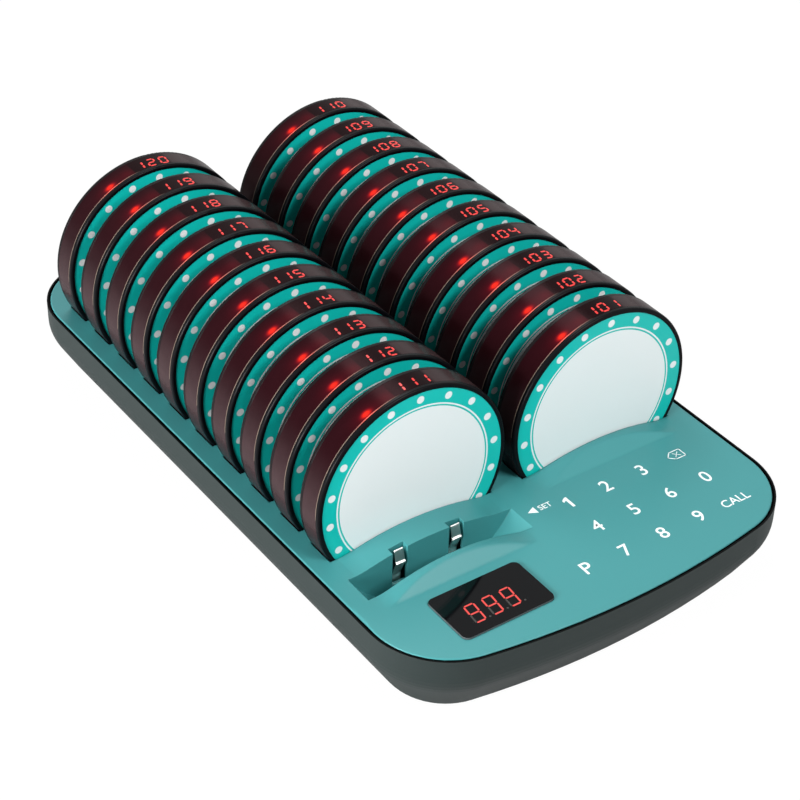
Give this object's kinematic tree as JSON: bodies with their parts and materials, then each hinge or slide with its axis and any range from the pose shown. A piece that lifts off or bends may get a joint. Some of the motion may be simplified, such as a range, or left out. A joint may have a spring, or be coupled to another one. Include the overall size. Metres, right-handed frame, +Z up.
{
  "type": "guest pager system",
  "caption": "Counter base with touch keypad, digit display and slots holding upright round coaster pagers with light-up rims and spring charging contacts.",
  "frame": {"origin": "middle of the box's underside, on the counter", "axes": "+X to the right as the keypad is read, +Y from the keypad to the back, +Z up"},
  "size_m": [0.2062, 0.353, 0.1089],
  "materials": {
    "housing_charcoal": "fine matt moulded texture",
    "cover_teal": "satin moulded",
    "window_black": "polished smoked window",
    "display_module_grey": "matt encapsulated digit block",
    "circuit_board_green": "solder-masked laminate",
    "radio_shield_tin": "tinned shield can",
    "contact_nickel": "bright nickel plate",
    "inlet_black": "moulded connector",
    "foot_rubber": "soft matt rubber",
    "screw_steel": "zinc-plated",
    "pager_case_black": "semi-gloss moulded",
    "light_band_smoky_red": "smoky red translucent, polished",
    "bezel_black": "semi-gloss moulded",
    "label_teal": "printed satin film",
    "battery_foil": "foil pouch",
    "motor_steel": "pressed steel can"
  },
  "bodies": {
    "base": {"base_shell": "housing_charcoal", "top_cover": "cover_teal", "display_window": "window_black", "display_module": "display_module_grey", "touch_board": "circuit_board_green", "main_board": "circuit_board_green", "radio_module": "radio_shield_tin", "charge_boards": "circuit_board_green", "contact_feet": "contact_nickel", "dc_inlet": "inlet_black", "rubber_feet": "foot_rubber", "cover_screws": "screw_steel"},
    "pager_101_body": {"pager_101": "pager_case_black"},
    "contacts_101_body": {"contacts_101": "contact_nickel"},
    "pager_102_body": {"pager_102": "pager_case_black"},
    "contacts_102_body": {"contacts_102": "contact_nickel"},
    "pager_103_body": {"pager_103": "pager_case_black"},
    "contacts_103_body": {"contacts_103": "contact_nickel"},
    "pager_104_body": {"pager_104": "pager_case_black"},
    "contacts_104_body": {"contacts_104": "contact_nickel"},
    "pager_105_body": {"pager_105": "pager_case_black"},
    "contacts_105_body": {"contacts_105": "contact_nickel"},
    "pager_106_body": {"pager_106": "pager_case_black"},
    "contacts_106_body": {"contacts_106": "contact_nickel"},
    "pager_107_body": {"pager_107": "pager_case_black"},
    "contacts_107_body": {"contacts_107": "contact_nickel"},
    "pager_108_body": {"pager_108": "pager_case_black"},
    "contacts_108_body": {"contacts_108": "contact_nickel"},
    "pager_109_body": {"pager_109": "pager_case_black"},
    "contacts_109_body": {"contacts_109": "contact_nickel"},
    "pager_110_body": {"pager_110": "pager_case_black"},
    "contacts_110_body": {"contacts_110": "contact_nickel"},
    "pager_111_body": {"pager_111_rear_case": "pager_case_black", "pager_111_light_band": "light_band_smoky_red", "pager_111_front_bezel": "bezel_black", "pager_111_front_label": "label_teal", "pager_111_circuit_board": "circuit_board_green", "pager_111_battery": "battery_foil", "pager_111_vibration_motor": "motor_steel", "pager_111_charge_pads": "contact_nickel"},
    "contacts_111_body": {"contacts_111": "contact_nickel"},
    "pager_112_body": {"pager_112": "pager_case_black"},
    "contacts_112_body": {"contacts_112": "contact_nickel"},
    "pager_113_body": {"pager_113": "pager_case_black"},
    "contacts_113_body": {"contacts_113": "contact_nickel"},
    "pager_114_body": {"pager_114": "pager_case_black"},
    "contacts_114_body": {"contacts_114": "contact_nickel"},
    "pager_115_body": {"pager_115": "pager_case_black"},
    "contacts_115_body": {"contacts_115": "contact_nickel"},
    "pager_116_body": {"pager_116": "pager_case_black"},
    "contacts_116_body": {"contacts_116": "contact_nickel"},
    "pager_117_body": {"pager_117": "pager_case_black"},
    "contacts_117_body": {"contacts_117": "contact_nickel"},
    "pager_118_body": {"pager_118": "pager_case_black"},
    "contacts_118_body": {"contacts_118": "contact_nickel"},
    "pager_119_body": {"pager_119": "pager_case_black"},
    "contacts_119_body": {"contacts_119": "contact_nickel"},
    "pager_120_body": {"pager_120": "pager_case_black"},
    "contacts_120_body": {"contacts_120": "contact_nickel"},
    "contacts_free_slot_body": {"contacts_free_slot": "contact_nickel"}
  },
  "joints": [
    {"name": "pager_101_lift", "type": "slide", "parent": "base", "child": "pager_101_body", "axis": [0, 0, 1], "range_m": [0, 0.1]},
    {"name": "pager_102_lift", "type": "slide", "parent": "base", "child": "pager_102_body", "axis": [0, 0, 1], "range_m": [0, 0.1]},
    {"name": "pager_103_lift", "type": "slide", "parent": "base", "child": "pager_103_body", "axis": [0, 0, 1], "range_m": [0, 0.1]},
    {"name": "pager_104_lift", "type": "slide", "parent": "base", "child": "pager_104_body", "axis": [0, 0, 1], "range_m": [0, 0.1]},
    {"name": "pager_105_lift", "type": "slide", "parent": "base", "child": "pager_105_body", "axis": [0, 0, 1], "range_m": [0, 0.1]},
    {"name": "pager_106_lift", "type": "slide", "parent": "base", "child": "pager_106_body", "axis": [0, 0, 1], "range_m": [0, 0.1]},
    {"name": "pager_107_lift", "type": "slide", "parent": "base", "child": "pager_107_body", "axis": [0, 0, 1], "range_m": [0, 0.1]},
    {"name": "pager_108_lift", "type": "slide", "parent": "base", "child": "pager_108_body", "axis": [0, 0, 1], "range_m": [0, 0.1]},
    {"name": "pager_109_lift", "type": "slide", "parent": "base", "child": "pager_109_body", "axis": [0, 0, 1], "range_m": [0, 0.1]},
    {"name": "pager_110_lift", "type": "slide", "parent": "base", "child": "pager_110_body", "axis": [0, 0, 1], "range_m": [0, 0.1]},
    {"name": "pager_111_lift", "type": "slide", "parent": "base", "child": "pager_111_body", "axis": [0, 0, 1], "range_m": [0, 0.1]},
    {"name": "pager_112_lift", "type": "slide", "parent": "base", "child": "pager_112_body", "axis": [0, 0, 1], "range_m": [0, 0.1]},
    {"name": "pager_113_lift", "type": "slide", "parent": "base", "child": "pager_113_body", "axis": [0, 0, 1], "range_m": [0, 0.1]},
    {"name": "pager_114_lift", "type": "slide", "parent": "base", "child": "pager_114_body", "axis": [0, 0, 1], "range_m": [0, 0.1]},
    {"name": "pager_115_lift", "type": "slide", "parent": "base", "child": "pager_115_body", "axis": [0, 0, 1], "range_m": [0, 0.1]},
    {"name": "pager_116_lift", "type": "slide", "parent": "base", "child": "pager_116_body", "axis": [0, 0, 1], "range_m": [0, 0.1]},
    {"name": "pager_117_lift", "type": "slide", "parent": "base", "child": "pager_117_body", "axis": [0, 0, 1], "range_m": [0, 0.1]},
    {"name": "pager_118_lift", "type": "slide", "parent": "base", "child": "pager_118_body", "axis": [0, 0, 1], "range_m": [0, 0.1]},
    {"name": "pager_119_lift", "type": "slide", "parent": "base", "child": "pager_119_body", "axis": [0, 0, 1], "range_m": [0, 0.1]},
    {"name": "pager_120_lift", "type": "slide", "parent": "base", "child": "pager_120_body", "axis": [0, 0, 1], "range_m": [0, 0.1]},
    {"name": "contacts_101_flex", "type": "hinge", "parent": "base", "child": "contacts_101_body", "pos_m": [0.0502, -0.0696, 0.0093], "axis": [1, 0, 0], "range_deg": [0, 2.65]},
    {"name": "contacts_102_flex", "type": "hinge", "parent": "base", "child": "contacts_102_body", "pos_m": [0.0502, -0.0461, 0.0093], "axis": [1, 0, 0], "range_deg": [0, 2.65]},
    {"name": "contacts_103_flex", "type": "hinge", "parent": "base", "child": "contacts_103_body", "pos_m": [0.0502, -0.0226, 0.0093], "axis": [1, 0, 0], "range_deg": [0, 2.65]},
    {"name": "contacts_104_flex", "type": "hinge", "parent": "base", "child": "contacts_104_body", "pos_m": [0.0502, 0.0009, 0.0093], "axis": [1, 0, 0], "range_deg": [0, 2.65]},
    {"name": "contacts_105_flex", "type": "hinge", "parent": "base", "child": "contacts_105_body", "pos_m": [0.0502, 0.0244, 0.0093], "axis": [1, 0, 0], "range_deg": [0, 2.65]},
    {"name": "contacts_106_flex", "type": "hinge", "parent": "base", "child": "contacts_106_body", "pos_m": [0.0502, 0.0479, 0.0093], "axis": [1, 0, 0], "range_deg": [0, 2.65]},
    {"name": "contacts_107_flex", "type": "hinge", "parent": "base", "child": "contacts_107_body", "pos_m": [0.0502, 0.0714, 0.0093], "axis": [1, 0, 0], "range_deg": [0, 2.65]},
    {"name": "contacts_108_flex", "type": "hinge", "parent": "base", "child": "contacts_108_body", "pos_m": [0.0502, 0.0949, 0.0093], "axis": [1, 0, 0], "range_deg": [0, 2.65]},
    {"name": "contacts_109_flex", "type": "hinge", "parent": "base", "child": "contacts_109_body", "pos_m": [0.0502, 0.1184, 0.0093], "axis": [1, 0, 0], "range_deg": [0, 2.65]},
    {"name": "contacts_110_flex", "type": "hinge", "parent": "base", "child": "contacts_110_body", "pos_m": [0.0502, 0.1419, 0.0093], "axis": [1, 0, 0], "range_deg": [0, 2.65]},
    {"name": "contacts_111_flex", "type": "hinge", "parent": "base", "child": "contacts_111_body", "pos_m": [-0.0502, -0.0696, 0.0093], "axis": [1, 0, 0], "range_deg": [0, 2.65]},
    {"name": "contacts_112_flex", "type": "hinge", "parent": "base", "child": "contacts_112_body", "pos_m": [-0.0502, -0.0461, 0.0093], "axis": [1, 0, 0], "range_deg": [0, 2.65]},
    {"name": "contacts_113_flex", "type": "hinge", "parent": "base", "child": "contacts_113_body", "pos_m": [-0.0502, -0.0226, 0.0093], "axis": [1, 0, 0], "range_deg": [0, 2.65]},
    {"name": "contacts_114_flex", "type": "hinge", "parent": "base", "child": "contacts_114_body", "pos_m": [-0.0502, 0.0009, 0.0093], "axis": [1, 0, 0], "range_deg": [0, 2.65]},
    {"name": "contacts_115_flex", "type": "hinge", "parent": "base", "child": "contacts_115_body", "pos_m": [-0.0502, 0.0244, 0.0093], "axis": [1, 0, 0], "range_deg": [0, 2.65]},
    {"name": "contacts_116_flex", "type": "hinge", "parent": "base", "child": "contacts_116_body", "pos_m": [-0.0502, 0.0479, 0.0093], "axis": [1, 0, 0], "range_deg": [0, 2.65]},
    {"name": "contacts_117_flex", "type": "hinge", "parent": "base", "child": "contacts_117_body", "pos_m": [-0.0502, 0.0714, 0.0093], "axis": [1, 0, 0], "range_deg": [0, 2.65]},
    {"name": "contacts_118_flex", "type": "hinge", "parent": "base", "child": "contacts_118_body", "pos_m": [-0.0502, 0.0949, 0.0093], "axis": [1, 0, 0], "range_deg": [0, 2.65]},
    {"name": "contacts_119_flex", "type": "hinge", "parent": "base", "child": "contacts_119_body", "pos_m": [-0.0502, 0.1184, 0.0093], "axis": [1, 0, 0], "range_deg": [0, 2.65]},
    {"name": "contacts_120_flex", "type": "hinge", "parent": "base", "child": "contacts_120_body", "pos_m": [-0.0502, 0.1419, 0.0093], "axis": [1, 0, 0], "range_deg": [0, 2.65]},
    {"name": "contacts_free_slot_flex", "type": "hinge", "parent": "base", "child": "contacts_free_slot_body", "pos_m": [-0.0502, -0.0978, 0.0093], "axis": [1, 0, 0], "range_deg": [-2.6, 0], "stiffness_Nm_per_rad": 0.6}
  ],
  "couplings": [
    {"joint": "contacts_101_flex", "follows": "pager_101_lift", "rad_per_m": 0.45379},
    {"joint": "contacts_102_flex", "follows": "pager_102_lift", "rad_per_m": 0.45379},
    {"joint": "contacts_103_flex", "follows": "pager_103_lift", "rad_per_m": 0.45379},
    {"joint": "contacts_104_flex", "follows": "pager_104_lift", "rad_per_m": 0.45379},
    {"joint": "contacts_105_flex", "follows": "pager_105_lift", "rad_per_m": 0.45379},
    {"joint": "contacts_106_flex", "follows": "pager_106_lift", "rad_per_m": 0.45379},
    {"joint": "contacts_107_flex", "follows": "pager_107_lift", "rad_per_m": 0.45379},
    {"joint": "contacts_108_flex", "follows": "pager_108_lift", "rad_per_m": 0.45379},
    {"joint": "contacts_109_flex", "follows": "pager_109_lift", "rad_per_m": 0.45379},
    {"joint": "contacts_110_flex", "follows": "pager_110_lift", "rad_per_m": 0.45379},
    {"joint": "contacts_111_flex", "follows": "pager_111_lift", "rad_per_m": 0.45379},
    {"joint": "contacts_112_flex", "follows": "pager_112_lift", "rad_per_m": 0.45379},
    {"joint": "contacts_113_flex", "follows": "pager_113_lift", "rad_per_m": 0.45379},
    {"joint": "contacts_114_flex", "follows": "pager_114_lift", "rad_per_m": 0.45379},
    {"joint": "contacts_115_flex", "follows": "pager_115_lift", "rad_per_m": 0.45379},
    {"joint": "contacts_116_flex", "follows": "pager_116_lift", "rad_per_m": 0.45379},
    {"joint": "contacts_117_flex", "follows": "pager_117_lift", "rad_per_m": 0.45379},
    {"joint": "contacts_118_flex", "follows": "pager_118_lift", "rad_per_m": 0.45379},
    {"joint": "contacts_119_flex", "follows": "pager_119_lift", "rad_per_m": 0.45379},
    {"joint": "contacts_120_flex", "follows": "pager_120_lift", "rad_per_m": 0.45379}
  ]
}
